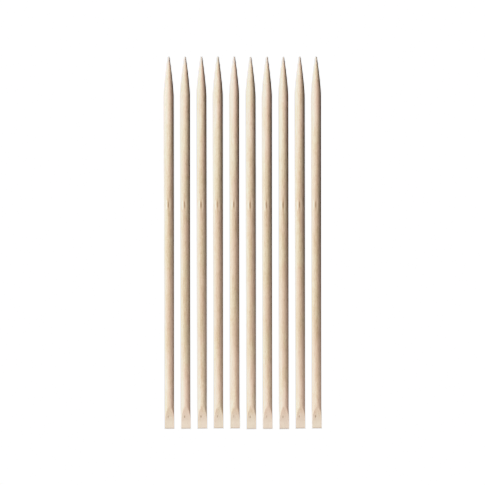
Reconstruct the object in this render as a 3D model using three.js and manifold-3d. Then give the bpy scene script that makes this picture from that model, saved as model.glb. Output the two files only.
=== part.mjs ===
// A set of ten wooden cuticle sticks, laid side by side in a row.
// Each stick is one solid piece of birch: a straight round shaft, a long blunt point for cleaning
// under the nail, and a thin flat blade, cut by two opposite bevels, for pushing the cuticle back.
//
// Frame: millimetres, +Z up. The sticks lie along Y with their points towards +Y, and the row
// runs along X. The origin is in the middle of the row, on the surface that the sticks lie on.

import * as THREE from 'three';
import { mergeVertices } from 'three/addons/utils/BufferGeometryUtils.js';
import Module from 'manifold-3d';

// The row of sticks.
const stickCount = 10;
const stickPitch = 7.83;
// How far each loose stick has slipped endwise from its neighbours, towards its point.
const endwiseSlip = [0, 0, 0.05, 0.15, 0.1, -0.15, -0.1, -0.15, 0, 0.05];

// The shaft, which is a little thinner at the heel, where the bevels start, than at the shoulder,
// where the point starts.
const stickLength = 178;
const shoulderRadius = 2.475;
const heelRadius = 2.375;
const sides = 32;

// The point: a rounded nose, then a slightly bellied cone that eases into the shaft.
const pointLength = 19;
const noseRadius = 0.55;
const coneStartRadius = 0.48;
const conePower = 1.36;
const noseSteps = 3;
const coneSteps = 7;

// The blade and its two bevels.
const bladeLength = 3.6;
const bladeEndHalfThickness = 0.36;
const bladeRootHalfThickness = 0.42;
const bevelAngle = THREE.MathUtils.degToRad(15.3);
const bevelBlend = 0.8;
const blendSteps = 4;

const pointY = stickLength / 2;
const bladeY = -stickLength / 2;
const shoulderY = pointY - pointLength;
const bevelRise = Math.tan(bevelAngle);
const heelY = bladeY + bladeLength + (heelRadius - bladeRootHalfThickness) / bevelRise;

// The angle between the shaft's axis and its side.
const taperAngle = Math.atan((shoulderRadius - heelRadius) / (shoulderY - heelY));
const middleRadius = shoulderRadius - shoulderY * Math.tan(taperAngle);

// Vertices closer together than this are one vertex.
const weldDistance = 1e-5;

const wasm = await Module();
wasm.setup();

const birch = new THREE.MeshStandardMaterial({ color: '#dcc6a6', roughness: 0.68, metalness: 0 });

// The stick's radius at a distance from the tip of its point, along the cone.
function coneRadius(fromTip) {
  const left = 1 - fromTip / pointLength;
  return coneStartRadius + (shoulderRadius - coneStartRadius) * (1 - left ** conePower);
}

// The turned outline, from the axis at the blade end to the axis at the tip of the point.
function turnedOutline() {
  const bladeEndRadius = middleRadius + bladeY * Math.tan(taperAngle);
  const outline = [new THREE.Vector2(0, bladeY), new THREE.Vector2(bladeEndRadius, bladeY)];
  for (let step = 0; step < coneSteps; step++) {
    const fromTip = THREE.MathUtils.lerp(pointLength, noseRadius, step / coneSteps);
    outline.push(new THREE.Vector2(coneRadius(fromTip), pointY - fromTip));
  }
  for (let step = 0; step < noseSteps; step++) {
    const turn = (step / noseSteps) * (Math.PI / 2);
    const along = pointY - noseRadius + noseRadius * Math.sin(turn);
    outline.push(new THREE.Vector2(noseRadius * Math.cos(turn), along));
  }
  outline.push(new THREE.Vector2(0, pointY));
  return outline;
}

// The round stick before its bevels are cut. One flat strip of it faces straight down, and the
// distance between opposite flats is the stick's diameter.
function turnedRod() {
  const acrossFlats = 1 / Math.cos(Math.PI / sides);
  const outline = turnedOutline().map(({ x, y }) => new THREE.Vector2(x * acrossFlats, y));
  return new THREE.LatheGeometry(outline, sides, Math.PI / sides);
}

// The upper side of the blade and bevel, seen from the side: thickness against length, with the
// inner corner between the blade and the bevel rounded by a short curve.
function bevelCurve() {
  const corner = new THREE.Vector2(bladeY + bladeLength, bladeRootHalfThickness);
  const bladeEnd = new THREE.Vector2(bladeY, bladeEndHalfThickness);
  const bladeSide = bladeEnd.clone().sub(corner).normalize();
  const bevelSide = new THREE.Vector2(1, bevelRise).normalize();
  return new THREE.QuadraticBezierCurve(
    corner.clone().addScaledVector(bladeSide, bevelBlend),
    corner,
    corner.clone().addScaledVector(bevelSide, bevelBlend),
  ).getPoints(blendSteps);
}

// A thick slab whose side outline leaves only what the bevels leave of the rod.
function bevelSlab() {
  const clear = 1;
  const top = shoulderRadius + clear;
  const topStartY = bladeY + bladeLength + (top - bladeRootHalfThickness) / bevelRise;
  const upper = [
    new THREE.Vector2(bladeY - clear, bladeEndHalfThickness),
    ...bevelCurve(),
    new THREE.Vector2(topStartY, top),
    new THREE.Vector2(pointY + clear, top),
  ];
  const lower = upper.map(({ x, y }) => new THREE.Vector2(x, -y)).reverse();
  const slab = new THREE.ExtrudeGeometry(new THREE.Shape([...upper, ...lower]), {
    depth: 2 * top,
    bevelEnabled: false,
  });
  slab.translate(0, 0, -top);
  const across = new THREE.Matrix4().makeBasis(
    new THREE.Vector3(0, 1, 0),
    new THREE.Vector3(0, 0, 1),
    new THREE.Vector3(1, 0, 0),
  );
  return slab.applyMatrix4(across);
}

function toSolid(geometry) {
  geometry.deleteAttribute('normal');
  geometry.deleteAttribute('uv');
  const merged = mergeVertices(geometry, weldDistance);
  const mesh = new wasm.Mesh({
    numProp: 3,
    vertProperties: new Float32Array(merged.attributes.position.array),
    triVerts: new Uint32Array(merged.index.array),
  });
  return new wasm.Manifold(mesh);
}

function toGeometry(solid) {
  const { vertProperties, triVerts } = solid.getMesh();
  const geometry = new THREE.BufferGeometry();
  geometry.setAttribute('position', new THREE.BufferAttribute(vertProperties, 3));
  geometry.setIndex(new THREE.BufferAttribute(triVerts, 1));
  geometry.computeVertexNormals();
  return geometry;
}

function makeStickGeometry() {
  return toGeometry(toSolid(turnedRod()).intersect(toSolid(bevelSlab())));
}

// A stick lies on its tapered side, so its axis slopes down a little towards the heel.
function layStick(mesh, place) {
  const fromMiddle = place - (stickCount - 1) / 2;
  mesh.rotation.x = taperAngle;
  mesh.position.set(fromMiddle * stickPitch, endwiseSlip[place], middleRadius * Math.cos(taperAngle));
}

const stickSet = new THREE.Group();
const stickGeometry = makeStickGeometry();
for (let place = 0; place < stickCount; place++) {
  const stick = new THREE.Mesh(stickGeometry, birch.clone());
  stick.name = `stick_${String(place + 1).padStart(2, '0')}`;
  layStick(stick, place);
  stickSet.add(stick);
}

export default stickSet;
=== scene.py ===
"""A row of ten wooden cuticle sticks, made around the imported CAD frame."""

import math

import bpy
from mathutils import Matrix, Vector


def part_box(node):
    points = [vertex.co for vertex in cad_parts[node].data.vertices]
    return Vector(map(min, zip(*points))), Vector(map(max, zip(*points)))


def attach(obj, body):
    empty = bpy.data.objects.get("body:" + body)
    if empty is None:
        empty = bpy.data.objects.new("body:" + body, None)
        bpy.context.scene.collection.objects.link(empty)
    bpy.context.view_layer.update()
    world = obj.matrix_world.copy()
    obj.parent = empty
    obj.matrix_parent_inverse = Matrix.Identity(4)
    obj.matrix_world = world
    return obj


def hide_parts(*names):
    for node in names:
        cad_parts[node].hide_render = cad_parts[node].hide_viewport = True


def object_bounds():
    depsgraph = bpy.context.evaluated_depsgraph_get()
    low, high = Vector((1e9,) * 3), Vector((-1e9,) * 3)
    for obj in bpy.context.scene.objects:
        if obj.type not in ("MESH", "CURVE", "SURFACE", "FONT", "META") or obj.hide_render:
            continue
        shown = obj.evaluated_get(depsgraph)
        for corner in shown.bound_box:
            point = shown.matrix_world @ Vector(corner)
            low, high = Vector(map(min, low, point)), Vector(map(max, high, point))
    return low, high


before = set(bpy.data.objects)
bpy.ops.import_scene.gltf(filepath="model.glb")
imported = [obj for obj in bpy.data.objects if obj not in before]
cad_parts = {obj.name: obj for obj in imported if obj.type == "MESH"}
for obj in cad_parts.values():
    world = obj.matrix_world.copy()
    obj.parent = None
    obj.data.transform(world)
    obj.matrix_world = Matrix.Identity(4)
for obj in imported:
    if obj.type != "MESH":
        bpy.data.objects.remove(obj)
cad_low, cad_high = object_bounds()

# The camera hangs straight above the middle of the row, with a long lens, so the sticks look
# parallel, and it sees a square about a third longer than a stick. The points are at the top.
# It is turned a tenth of a degree, so the sticks lean that much in the picture.
mm = 0.001
row_middle = (cad_low + cad_high) / 2
picture_width = 231.9 * mm
camera_height = 1.5
camera_roll = math.radians(-0.092)
camera_shift = Vector((-0.12, 0.07, 0)) * mm
camera_data = bpy.data.cameras.new("camera")
camera_data.sensor_width = 36
camera_data.lens = camera_data.sensor_width * (camera_height - row_middle.z) / picture_width
camera_data.clip_start = 0.05
camera_data.clip_end = 20
camera = bpy.data.objects.new("camera", camera_data)
camera.location = Vector((row_middle.x, row_middle.y, camera_height)) + camera_shift
camera.rotation_euler.z = camera_roll
bpy.context.scene.collection.objects.link(camera)
bpy.context.scene.camera = camera


# A cuticle stick is one piece of bare birch, pale and close-grained. It is cut along the grain,
# tumbled smooth and left without varnish, so it has long faint fibres, short dark pores and a
# soft dull sheen. Its wood comes first here, then its shape, then its place in the row.
birch_pale = (0.88, 0.675, 0.48, 1)
birch_deep = (0.61, 0.41, 0.258, 1)
birch_pink = (0.80, 0.53, 0.41, 1)
birch_olive = (0.74, 0.61, 0.42, 1)
birch_cut = (0.88, 0.695, 0.55, 1)
middle_darkening_tint = (0.70, 0.695, 0.64, 1)
pore_brown = (0.34, 0.20, 0.11, 1)
knot_brown = (0.24, 0.15, 0.08, 1)
end_shade_brown = (0.29, 0.26, 0.22, 1)
tip_shade_grey = (0.42, 0.40, 0.37, 1)

wood = bpy.data.materials.new("bare birch")
wood.use_nodes = True
wood_tree = wood.node_tree
wood_tree.nodes.clear()


def feed(socket, value):
    """Links an output to the socket, or sets the socket to a value."""
    if isinstance(value, bpy.types.NodeSocket):
        socket.id_data.links.new(value, socket)
    else:
        socket.default_value = value


def shader_node(kind, **settings):
    node = wood_tree.nodes.new(kind)
    for name, value in settings.items():
        setattr(node, name, value)
    return node


def wood_math(operation, *values):
    node = shader_node("ShaderNodeMath", operation=operation)
    for socket, value in zip(node.inputs, values):
        feed(socket, value)
    return node.outputs[0]


def wood_ramp(value, start, end, at_start=0.0, at_end=1.0):
    """at_start where the value is start, at_end where it is end, and a smooth step between."""
    node = shader_node("ShaderNodeMapRange", interpolation_type="SMOOTHSTEP")
    for socket, number in zip(node.inputs, (value, start, end, at_start, at_end)):
        feed(socket, number)
    return node.outputs[0]


def wood_mix(amount, colour_a, colour_b, blend="MIX"):
    node = shader_node("ShaderNodeMix", data_type="RGBA", blend_type=blend)
    feed(node.inputs["Factor"], amount)
    feed(node.inputs["A"], colour_a)
    feed(node.inputs["B"], colour_b)
    return node.outputs["Result"]


# A stick's surface carries its own place on the stick: across it, along it from the end of its
# blade, and up. It also carries that place shifted by the stick's seed, which the grain follows,
# so no two sticks have the same grain.
grain_place = shader_node("ShaderNodeAttribute", attribute_name="grain_place").outputs["Vector"]
stick_place = shader_node("ShaderNodeAttribute", attribute_name="stick_place").outputs["Vector"]
parts = shader_node("ShaderNodeSeparateXYZ")
feed(parts.inputs[0], stick_place)
stick_x, stick_along, stick_z = parts.outputs


def grain_noise(across, along, detail=3.0, roughness=0.55, shift=(0, 0, 0)):
    """Noise with this many waves per millimetre across the stick and along it."""
    place = shader_node("ShaderNodeMapping")
    feed(place.inputs["Vector"], grain_place)
    place.inputs["Location"].default_value = shift
    place.inputs["Scale"].default_value = (across / mm, along / mm, across / mm)
    noise = shader_node("ShaderNodeTexNoise")
    feed(noise.inputs["Vector"], place.outputs[0])
    noise.inputs["Scale"].default_value = 1.0
    noise.inputs["Detail"].default_value = detail
    noise.inputs["Roughness"].default_value = roughness
    return noise.outputs["Fac"]


fibres = grain_noise(across=2.6, along=0.06, detail=5.0, roughness=0.6)
figure = grain_noise(across=1.5, along=0.30, detail=4.0, roughness=0.65, shift=(3, 8, 2))
mottle = grain_noise(across=0.30, along=0.06, detail=2.0, shift=(7, 3, 1))
hue_drift = grain_noise(across=0.16, along=0.05, detail=2.0, shift=(2, 11, 5))
pores = grain_noise(across=6.0, along=0.40, detail=2.0, roughness=0.5, shift=(5, 1, 9))
short_grain = grain_noise(across=2.6, along=1.1, detail=2.0, shift=(4, 6, 2))
fine_lines = grain_noise(across=9.0, along=0.11, detail=3.0, roughness=0.6, shift=(1, 4, 8))

# Growth rings run along a stick at a slight slant, because it is never cut quite true to them.
ring_sharpness = 3.0
rings_place = shader_node("ShaderNodeMapping")
feed(rings_place.inputs["Vector"], grain_place)
rings_place.inputs["Location"].default_value = (-21, 0, 16)
rings_place.inputs["Rotation"].default_value = (0.012, 0, 0.018)
rings_place.inputs["Scale"].default_value = (1 / mm, 0.35 / mm, 1 / mm)
rings = shader_node("ShaderNodeTexWave", wave_type="RINGS", rings_direction="Y")
feed(rings.inputs["Vector"], rings_place.outputs[0])
rings.inputs["Scale"].default_value = 0.22
rings.inputs["Distortion"].default_value = 1.6
rings.inputs["Detail"].default_value = 2.0
rings.inputs["Detail Scale"].default_value = 0.4
late_wood = wood_math("POWER", rings.outputs["Fac"], ring_sharpness)

late_wood_strength = 0.22
lightest_tone = -0.24
tone = wood_math("MULTIPLY_ADD", late_wood, late_wood_strength, lightest_tone)
for pattern, spread, strength in (
    (fibres, 0.14, 0.30),
    (mottle, 0.18, 0.30),
    (figure, 0.18, 0.36),
    (short_grain, 0.15, 0.30),
    (fine_lines, 0.10, 0.24),
):
    part = wood_math("MULTIPLY", wood_ramp(pattern, 0.5 - spread, 0.5 + spread), strength)
    tone = wood_math("ADD", tone, part)
colour = wood_mix(tone, birch_pale, birch_deep)
pinkness = wood_ramp(hue_drift, start=0.40, end=0.62, at_end=0.6)
colour = wood_mix(pinkness, colour, birch_pink)
oliveness = wood_ramp(hue_drift, start=0.48, end=0.32, at_end=0.4)
colour = wood_mix(oliveness, colour, birch_olive)
pore_strength = 0.5
pore_mask = wood_math("MULTIPLY", wood_ramp(pores, start=0.61, end=0.67), pore_strength)
colour = wood_mix(pore_mask, colour, pore_brown)

# The middle of each stick is a shade darker, more over its right part than at its left edge, and
# most of all in a streak along its upper side.
dark_streak_x = -0.35 * mm
dark_streak_half_width = 1.0 * mm
dark_streak_spread = 1.6 * mm
dark_streak_strength = 0.48
past_blade = wood_ramp(stick_along, start=12 * mm, end=50 * mm)
before_point = wood_ramp(stick_along, start=160 * mm, end=104 * mm)
middle = wood_math("MULTIPLY", past_blade, before_point)
dark_streak_distance = wood_math("ABSOLUTE", wood_math("SUBTRACT", stick_x, dark_streak_x))
dark_streak_edge = wood_math("MULTIPLY_ADD", figure, dark_streak_spread, dark_streak_half_width)
dark_streak = wood_math("SUBTRACT", 1.0, wood_math("DIVIDE", dark_streak_distance, dark_streak_edge))
upper_side = wood_ramp(stick_z, start=0.0, end=1.0 * mm)
dark_streak = wood_math("MULTIPLY", wood_ramp(dark_streak, start=0.0, end=0.6), upper_side)
darker_right_side = wood_ramp(stick_x, start=-2.2 * mm, end=-1.0 * mm, at_start=0.12, at_end=0.44)
middle_darkening = wood_math("MULTIPLY_ADD", dark_streak, dark_streak_strength, darker_right_side)
middle_darkening = wood_math("MULTIPLY", middle_darkening, middle)
colour = wood_mix(middle_darkening, colour, middle_darkening_tint, blend="MULTIPLY")

# The bevels and the blade are cut through fresh wood, which is paler.
fresh_cut = wood_ramp(stick_along, start=9 * mm, end=4.5 * mm, at_end=0.5)
colour = wood_mix(fresh_cut, colour, birch_cut)

# Marks that every stick of the row shows: soft dark streaks, a fleck with pale flanks on the
# shaft, and a speck on the blade. Their edges are ragged along the fine lines of the grain.
raggedness = 0.9


def spot(x, along, width, length):
    """1 in the middle of a long spot on the upper side of the stick, and 0 outside it."""
    across_part = wood_math("DIVIDE", wood_math("SUBTRACT", stick_x, x), width / 2)
    along_part = wood_math("DIVIDE", wood_math("SUBTRACT", stick_along, along), length / 2)
    distance = wood_math(
        "ADD", wood_math("POWER", across_part, 2.0), wood_math("POWER", along_part, 2.0)
    )
    distance = wood_math("MULTIPLY_ADD", fine_lines, raggedness, distance)
    upper = wood_ramp(stick_z, start=0.0, end=0.2 * mm)
    return wood_math("MULTIPLY", wood_ramp(distance, start=1.4, end=0.7), upper)


for x, along, width, length, strength in (
    (-0.5, 105.8, 1.1, 16.0, 0.24),
    (-0.55, 106.8, 0.9, 7.5, 0.22),
    (-0.6, 46.0, 1.3, 17.0, 0.13),
    (-0.1, 27.0, 1.4, 9.0, 0.16),
):
    streak = spot(x * mm, along * mm, width * mm, length * mm)
    colour = wood_mix(wood_math("MULTIPLY", streak, strength), colour, pore_brown)
for x, length, strength in ((-1.4, 6.0, 0.6), (0.3, 9.0, 0.4)):
    pale_flank = spot(x * mm, along=107.0 * mm, width=0.8 * mm, length=length * mm)
    colour = wood_mix(wood_math("MULTIPLY", pale_flank, strength), colour, birch_pale)
fleck = spot(x=-0.55 * mm, along=107.1 * mm, width=1.0 * mm, length=4.0 * mm)
fleck_strength = wood_ramp(mottle, start=0.35, end=0.65, at_start=0.7)
colour = wood_mix(wood_math("MULTIPLY", fleck, fleck_strength), colour, knot_brown)
speck = spot(x=-0.6 * mm, along=5.9 * mm, width=0.75 * mm, length=1.7 * mm)
speck_strength = wood_ramp(mottle, start=0.35, end=0.65, at_start=0.4)
colour = wood_mix(wood_math("MULTIPLY", speck, speck_strength), colour, knot_brown)

# The last part of the blade before its end is painted darker: a painted shade for the dark line
# along its rounded-over end.
painted_end_shade = wood_ramp(stick_along, start=0.85 * mm, end=0.2 * mm, at_end=0.65)
colour = wood_mix(painted_end_shade, colour, end_shade_brown)
# The tip of the point is painted greyer and darker all round: a painted shade that deepens the
# shading across the thin tip.
painted_tip_shade = wood_ramp(stick_along, start=173.0 * mm, end=176.5 * mm, at_end=0.55)
colour = wood_mix(painted_tip_shade, colour, tip_shade_grey)

# The fibres and fine lines stand up a little, and the pores are shallow pits.
line_height = 0.6
pore_depth = -0.9
relief = wood_math("ADD", fibres, wood_math("MULTIPLY", fine_lines, line_height))
relief = wood_math("ADD", relief, wood_math("MULTIPLY", pore_mask, pore_depth))
bump = shader_node("ShaderNodeBump")
bump.inputs["Strength"].default_value = 0.35
bump.inputs["Distance"].default_value = 0.03 * mm
feed(bump.inputs["Height"], relief)

surface = shader_node("ShaderNodeBsdfPrincipled")
dullness = wood_ramp(fibres, start=0.3, end=0.7, at_start=0.56, at_end=0.72)
feed(surface.inputs["Base Color"], colour)
feed(surface.inputs["Roughness"], dullness)
feed(surface.inputs["Normal"], bump.outputs[0])
surface.inputs["Specular IOR Level"].default_value = 0.35
surface.inputs["Sheen Weight"].default_value = 0.25
surface.inputs["Sheen Roughness"].default_value = 0.45
output = shader_node("ShaderNodeOutputMaterial")
feed(output.inputs["Surface"], surface.outputs[0])


# A stick is round along its shaft. One end is sanded to a long blunt point. The other is pressed
# and cut by two opposite bevels to a thin flat blade, and its edges are softened in the tumbler.
stick_low, stick_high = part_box("stick_01")
stick_length = stick_high.y - stick_low.y
shoulder_radius = (stick_high.x - stick_low.x) / 2
heel_thinning = 0.1 * mm
heel_radius = shoulder_radius - heel_thinning
point_length = 19 * mm
blade_length = 3.6 * mm
blade_root_half = 0.42 * mm
bevel_rise = math.tan(math.radians(15.3))
heel_along = blade_length + (heel_radius - blade_root_half) / bevel_rise
shoulder_along = stick_length - point_length
taper = (shoulder_radius - heel_radius) / (shoulder_along - heel_along)

stick_sizes = {
    "Length": stick_length,
    "Shoulder Radius": shoulder_radius,
    "Taper": taper,
    "Point Length": point_length,
    "Nose Radius": 0.55 * mm,
    "Cone Start Radius": 0.48 * mm,
    "Cone Power": 1.36,
    "Blade Length": blade_length,
    "Blade Root Half": blade_root_half,
    "Blade End Half": 0.36 * mm,
    "Blade Half Width": 2.37 * mm,
    "Blade Shift": 0.10 * mm,
    "Bevel Rise": bevel_rise,
    "Heel": heel_along,
    "Inner Corner": 0.30 * mm,
    "Edge Softness": 0.22 * mm,
    "End Rounding": 0.09 * mm,
    "Unevenness": 0.05 * mm,
    "Roll": 0.0,
    "Bow": 0.0,
    "Seed": 0.0,
    "Tilt": 0.0,
}

stick_tree = bpy.data.node_groups.new("cuticle stick", "GeometryNodeTree")
stick_tree.interface.new_socket("Geometry", in_out="OUTPUT", socket_type="NodeSocketGeometry")
stick_inputs = {}
for name, usual_size in stick_sizes.items():
    socket = stick_tree.interface.new_socket(name, in_out="INPUT", socket_type="NodeSocketFloat")
    socket.default_value = usual_size
    stick_inputs[name] = socket.identifier
place_socket = stick_tree.interface.new_socket(
    "Place", in_out="INPUT", socket_type="NodeSocketVector"
)
stick_inputs["Place"] = place_socket.identifier


def stick_node(kind, *values, **settings):
    """A node of the stick's tree with its inputs fed in order. A None leaves an input alone."""
    node = stick_tree.nodes.new(kind)
    for name, value in settings.items():
        setattr(node, name, value)
    for socket, value in zip(node.inputs, values):
        if value is not None:
            feed(socket, value)
    return node


def calc(operation, *values):
    return stick_node("ShaderNodeMath", *values, operation=operation).outputs[0]


def share(value, low, high):
    """0 up to low, 1 from high, and straight between."""
    return stick_node("ShaderNodeMapRange", value, low, high, 0.0, 1.0).outputs[0]


# The skin starts as a flat grid, whose X goes once round the stick and whose Y goes along it.
around = 120
rows = 420
size = stick_node("NodeGroupInput").outputs
grid = stick_node("GeometryNodeMeshGrid", 1.0, 1.0, around + 1, rows)
flat = stick_node(
    "ShaderNodeSeparateXYZ", stick_node("GeometryNodeInputPosition").outputs[0]
).outputs
turn = calc("MULTIPLY", calc("ADD", flat["X"], 0.5), math.tau)
row = calc("ADD", flat["Y"], 0.5)

# Rows are close together on the blade and the point, and far apart on the straight shaft. The
# first few close the flat end of the blade.
cap_share = 0.016
blade_share = 0.28
shaft_share = 0.40
blade_zone = 13.5 * mm
point_zone = 21 * mm
blade_crowding = 1.5
point_crowding = 1.7
blade_end_row = cap_share + blade_share
shaft_end_row = blade_end_row + shaft_share
cap = share(row, 0.0, cap_share)
on_blade = calc("POWER", share(row, cap_share, blade_end_row), blade_crowding)
on_shaft = share(row, blade_end_row, shaft_end_row)
before_tip = calc("SUBTRACT", 1.0, share(row, shaft_end_row, 1.0))
before_tip = calc("POWER", before_tip, point_crowding)
shaft_zone = calc("SUBTRACT", size["Length"], blade_zone + point_zone)
along = calc("MULTIPLY", on_blade, blade_zone)
along = calc("MULTIPLY_ADD", on_shaft, shaft_zone, along)
along = calc("MULTIPLY_ADD", calc("SUBTRACT", 1.0, before_tip), point_zone, along)
from_tip = calc("SUBTRACT", size["Length"], along)

# The radius: a slightly tapered shaft, the bellied cone of the point, and its rounded nose.
from_shoulder = calc("SUBTRACT", calc("SUBTRACT", size["Length"], size["Point Length"]), along)
radius = calc(
    "SUBTRACT", size["Shoulder Radius"], calc("MULTIPLY", size["Taper"], from_shoulder)
)
in_point = calc("SUBTRACT", 1.0, share(from_tip, 0.0, size["Point Length"]))
belly = calc("SUBTRACT", 1.0, calc("POWER", in_point, size["Cone Power"]))
cone = calc("SUBTRACT", radius, size["Cone Start Radius"])
radius = calc("MULTIPLY_ADD", cone, belly, size["Cone Start Radius"])
in_nose = calc("SUBTRACT", 1.0, share(from_tip, 0.0, size["Nose Radius"]))
nose = calc("SQRT", calc("SUBTRACT", 1.0, calc("POWER", in_nose, 2.0)))

# Sanding leaves the surface a little uneven, and only ever takes wood away.
wobbles_around = 0.8
wobbles_along = 60.0
wobble_place = stick_node(
    "ShaderNodeCombineXYZ",
    calc("MULTIPLY", calc("SINE", turn), wobbles_around),
    calc("MULTIPLY", along, wobbles_along),
    calc("MULTIPLY", calc("COSINE", turn), wobbles_around),
).outputs[0]
wobble = stick_node("ShaderNodeTexNoise", wobble_place, size["Seed"], noise_dimensions="4D")
feed(wobble.inputs["Scale"], 1.0)
feed(wobble.inputs["Detail"], 2.0)
sanded = calc("MULTIPLY", calc("SUBTRACT", wobble.outputs[0], 1.0), size["Unevenness"])
radius = calc("MULTIPLY", calc("ADD", radius, sanded), nose)

# The half thickness that the bevels leave, from the blade's end to where they run out.
blade_half = calc("SUBTRACT", size["Blade Root Half"], size["Blade End Half"])
blade_half = calc("MULTIPLY", blade_half, calc("DIVIDE", along, size["Blade Length"]))
blade_half = calc("ADD", blade_half, size["Blade End Half"])
bevel_half = calc("SUBTRACT", along, size["Blade Length"])
bevel_half = calc("MULTIPLY_ADD", bevel_half, size["Bevel Rise"], size["Blade Root Half"])
half = calc("SMOOTH_MAX", blade_half, bevel_half, size["Inner Corner"])

# The blade's end is rounded over a little on all its edges.
near_end = calc("SUBTRACT", 1.0, share(along, 0.0, size["End Rounding"]))
rounding = calc("SQRT", calc("SUBTRACT", 1.0, calc("POWER", near_end, 2.0)))
drawn_in = calc("MULTIPLY", calc("SUBTRACT", 1.0, rounding), size["End Rounding"])
radius = calc("SUBTRACT", radius, drawn_in)
half = calc("SUBTRACT", half, drawn_in)

# The section: a circle whose top and bottom are cut off flat, with softened edges. From the heel
# to the blade it becomes as wide as the blade, which stands a little to one side.
level = calc("MULTIPLY", radius, calc("COSINE", turn))
cut = calc("SMOOTH_MIN", level, half, size["Edge Softness"])
cut = calc("SMOOTH_MAX", cut, calc("MULTIPLY", half, -1.0), size["Edge Softness"])
in_blade = calc("SUBTRACT", 1.0, share(along, size["Blade Length"], size["Heel"]))
side_radius = calc("SUBTRACT", calc("SUBTRACT", size["Blade Half Width"], drawn_in), radius)
side_radius = calc("MULTIPLY_ADD", side_radius, in_blade, radius)
side = calc("MULTIPLY", calc("MULTIPLY", side_radius, calc("SINE", turn)), cap)
side = calc("MULTIPLY_ADD", in_blade, size["Blade Shift"], side)
level = calc("MULTIPLY", cut, cap)

# The section is rolled a little about the stick's axis, and the whole stick is a little bowed.
roll_sine = calc("SINE", size["Roll"])
roll_cosine = calc("COSINE", size["Roll"])
rolled_side = calc("MULTIPLY_ADD", level, roll_sine, calc("MULTIPLY", side, roll_cosine))
up = calc("SUBTRACT", calc("MULTIPLY", level, roll_cosine), calc("MULTIPLY", side, roll_sine))
bow = calc("SINE", calc("MULTIPLY", calc("DIVIDE", along, size["Length"]), math.pi))
across = calc("MULTIPLY_ADD", bow, size["Bow"], rolled_side)

middle_along = calc("SUBTRACT", along, calc("MULTIPLY", size["Length"], 0.5))
shape = stick_node("ShaderNodeCombineXYZ", across, middle_along, up).outputs[0]

# Each seed takes its grain from another stretch of the same timber.
seed_steps = (13.7 * mm, 41.3 * mm, 7.9 * mm)
own_place = stick_node("ShaderNodeCombineXYZ", side, along, level).outputs[0]
seed_shift = stick_node(
    "ShaderNodeCombineXYZ", *(calc("MULTIPLY", size["Seed"], step) for step in seed_steps)
).outputs[0]
grain = stick_node("ShaderNodeVectorMath", own_place, seed_shift, operation="ADD").outputs[0]

weld_distance = 0.0005 * mm
mesh = grid.outputs["Mesh"]
for name, value in (("stick_place", own_place), ("grain_place", grain)):
    store = stick_node(
        "GeometryNodeStoreNamedAttribute", mesh, data_type="FLOAT_VECTOR", domain="POINT"
    )
    feed(store.inputs["Name"], name)
    feed(store.inputs["Value"], value)
    mesh = store.outputs["Geometry"]
mesh = stick_node("GeometryNodeSetPosition", mesh, None, shape).outputs[0]
mesh = stick_node("GeometryNodeMergeByDistance", mesh, None, weld_distance).outputs[0]
mesh = stick_node("GeometryNodeSetShadeSmooth", mesh).outputs[0]
tilt = stick_node("ShaderNodeCombineXYZ", size["Tilt"]).outputs[0]
laid = stick_node("GeometryNodeTransform", mesh)
feed(laid.inputs["Translation"], size["Place"])
feed(laid.inputs["Rotation"], tilt)
mesh = stick_node("GeometryNodeRealizeInstances", laid.outputs[0]).outputs[0]
finished = stick_node("GeometryNodeSetMaterial", mesh)
finished.inputs["Material"].default_value = wood
stick_node("NodeGroupOutput", finished.outputs[0])


def make_stick(name, sizes):
    """A plain mesh object of one stick, with its place in its mesh."""
    blank = bpy.data.objects.new(name + "_blank", bpy.data.meshes.new(name + "_blank"))
    bpy.context.scene.collection.objects.link(blank)
    modifier = blank.modifiers.new("shape", "NODES")
    modifier.node_group = stick_tree
    for size_name, value in sizes.items():
        modifier[stick_inputs[size_name]] = value
    shapes = bpy.context.evaluated_depsgraph_get()
    mesh = bpy.data.meshes.new_from_object(blank.evaluated_get(shapes), depsgraph=shapes)
    bpy.data.objects.remove(blank)
    mesh.name = name
    made = bpy.data.objects.new(name, mesh)
    bpy.context.scene.collection.objects.link(made)
    return made


# The sticks lie loose in a row, each on its tapered side, so each slopes a little to its blade.
# Each is rolled a few degrees about its own axis, and is bowed by less than a tenth of a mm.
tilt_angle = math.atan(taper)
middle_radius = shoulder_radius - (shoulder_along - stick_length / 2) * taper
usual_roll = 4.5
roll_step = 1.7
most_bow = 0.05 * mm
bow_step = 2.4
for number, node in enumerate(sorted(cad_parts), start=1):
    low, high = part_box(node)
    sizes = dict(stick_sizes)
    sizes["Tilt"] = tilt_angle
    sizes["Seed"] = float(number)
    sizes["Roll"] = math.radians(usual_roll + math.sin(roll_step * number))
    sizes["Bow"] = most_bow * math.sin(bow_step * number)
    sizes["Place"] = ((low.x + high.x) / 2, (low.y + high.y) / 2, middle_radius)
    stick = make_stick("wooden_" + node, sizes)
    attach(stick, node)
    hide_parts(node)


# The floor is a plain white sweep that carries on past the picture. It glows an even white to
# the camera, with a painted contact shadow from ambient occlusion in the crevice under each
# stick, and it throws back little light.
studio_white = 1.9
sweep_half = 8
floor_gap = 0.02 * mm
floor_mesh = bpy.data.meshes.new("floor")
floor_corners = [
    (-sweep_half, -sweep_half, 0),
    (sweep_half, -sweep_half, 0),
    (sweep_half, sweep_half, 0),
    (-sweep_half, sweep_half, 0),
]
floor_mesh.from_pydata(floor_corners, [], [(0, 1, 2, 3)])
floor = bpy.data.objects.new("floor", floor_mesh)
floor.location.z = -floor_gap
bpy.context.scene.collection.objects.link(floor)
white = bpy.data.materials.new("white sweep")
white.use_nodes = True
white_nodes = white.node_tree.nodes
white_links = white.node_tree.links
white_nodes.clear()
glow = white_nodes.new("ShaderNodeEmission")
ray = white_nodes.new("ShaderNodeLightPath")
seen = white_nodes.new("ShaderNodeMapRange")
seen.inputs["To Min"].default_value = 0.20
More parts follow.
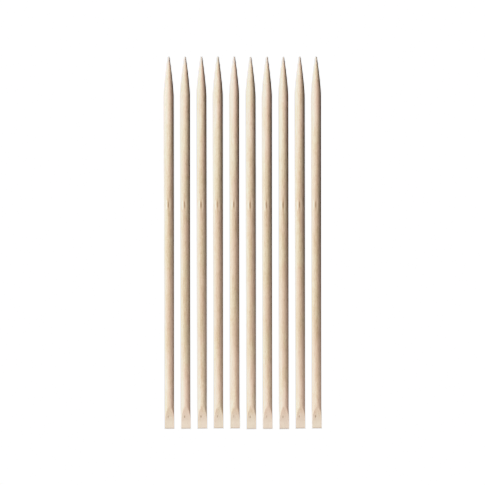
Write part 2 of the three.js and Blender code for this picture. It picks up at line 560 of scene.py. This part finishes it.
seen.inputs["To Max"].default_value = studio_white
# A painted contact shadow: ambient occlusion darkens the floor's glow close under each stick.
contact_shadow_ao = white_nodes.new("ShaderNodeAmbientOcclusion")
contact_shadow_ao.samples = 8
contact_shadow_ao.inputs["Distance"].default_value = 2.6 * mm
painted_contact_shadow = white_nodes.new("ShaderNodeMapRange")
painted_contact_shadow.interpolation_type = "SMOOTHSTEP"
painted_contact_shadow.inputs["From Max"].default_value = 0.55
white_out = white_nodes.new("ShaderNodeOutputMaterial")
white_links.new(ray.outputs["Is Camera Ray"], seen.inputs["Value"])
white_links.new(seen.outputs[0], glow.inputs["Strength"])
white_links.new(contact_shadow_ao.outputs["AO"], painted_contact_shadow.inputs["Value"])
white_links.new(painted_contact_shadow.outputs[0], glow.inputs["Color"])
white_links.new(glow.outputs[0], white_out.inputs["Surface"])
floor_mesh.materials.append(white)

# The room behind the sweep is as white as the sweep, and throws little light on the sticks.
world = bpy.data.worlds.new("studio")
bpy.context.scene.world = world
world.use_nodes = True
world_nodes = world.node_tree.nodes
world_links = world.node_tree.links
sky = world_nodes["Background"]
sky_ray = world_nodes.new("ShaderNodeLightPath")
sky_seen = world_nodes.new("ShaderNodeMapRange")
sky_seen.inputs["To Min"].default_value = 0.12
sky_seen.inputs["To Max"].default_value = studio_white
sky.inputs["Color"].default_value = (1, 1, 1, 1)
world_links.new(sky_ray.outputs["Is Camera Ray"], sky_seen.inputs["Value"])
world_links.new(sky_seen.outputs[0], sky.inputs["Strength"])


def soft_lamp(name, place, width, height, watts, colour):
    """A soft rectangular lamp at a place, aimed at the middle of the row."""
    data = bpy.data.lights.new(name, "AREA")
    data.shape = "RECTANGLE"
    data.size = width
    data.size_y = height
    data.energy = watts
    data.color = colour
    lamp = bpy.data.objects.new(name, data)
    lamp.location = place
    lamp.rotation_euler = (-Vector(place)).to_track_quat("-Z", "Y").to_euler()
    bpy.context.scene.collection.objects.link(lamp)


# The light: one big soft lamp high on the left, and a weaker, cooler one lower on the left.
soft_lamp("key", (-1.0, 0.25, 0.75), width=0.9, height=1.1, watts=36.5, colour=(1, 1, 1))
soft_lamp("low key", (-1.25, 0.1, 0.45), width=0.5, height=1.2, watts=5, colour=(0.9, 0.95, 1.0))

# A narrow lamp low on the right lights only the half of the row with the blades.
snoot_data = bpy.data.lights.new("snoot", "SPOT")
snoot_data.energy = 4.6
snoot_data.spot_size = math.radians(30)
snoot_data.spot_blend = 1.0
snoot_data.shadow_soft_size = 0.04
snoot = bpy.data.objects.new("snoot", snoot_data)
snoot_aim = Vector((0, -0.115, 0))
snoot_from_aim = Vector((0.44, -0.20, 0.14))
snoot.location = snoot_aim + snoot_from_aim
snoot.rotation_euler = (snoot_aim - snoot.location).to_track_quat("-Z", "Y").to_euler()
bpy.context.scene.collection.objects.link(snoot)

# Each stick is shaded as if it lay alone, with no light thrown on it by its neighbours.
bpy.context.scene.cycles.diffuse_bounces = 0

# The camera's response, as pairs of light and how bright it shows: bright wood rolls off gently
# below the white of the floor.
film_response = (
    (0.33, 0.325),
    (0.63, 0.57),
    (0.95, 0.755),
    (1.3, 0.862),
    (1.6, 0.885),
    (1.85, 0.995),
)
brightest = 2.0
combined_curve = 3
view = bpy.context.scene.view_settings
view.view_transform = "Standard"
view.use_curve_mapping = True
view.curve_mapping.white_level = (brightest, brightest, brightest)
response = view.curve_mapping.curves[combined_curve]
for light, shown in film_response:
    response.points.new(light / brightest, shown)
view.curve_mapping.update()
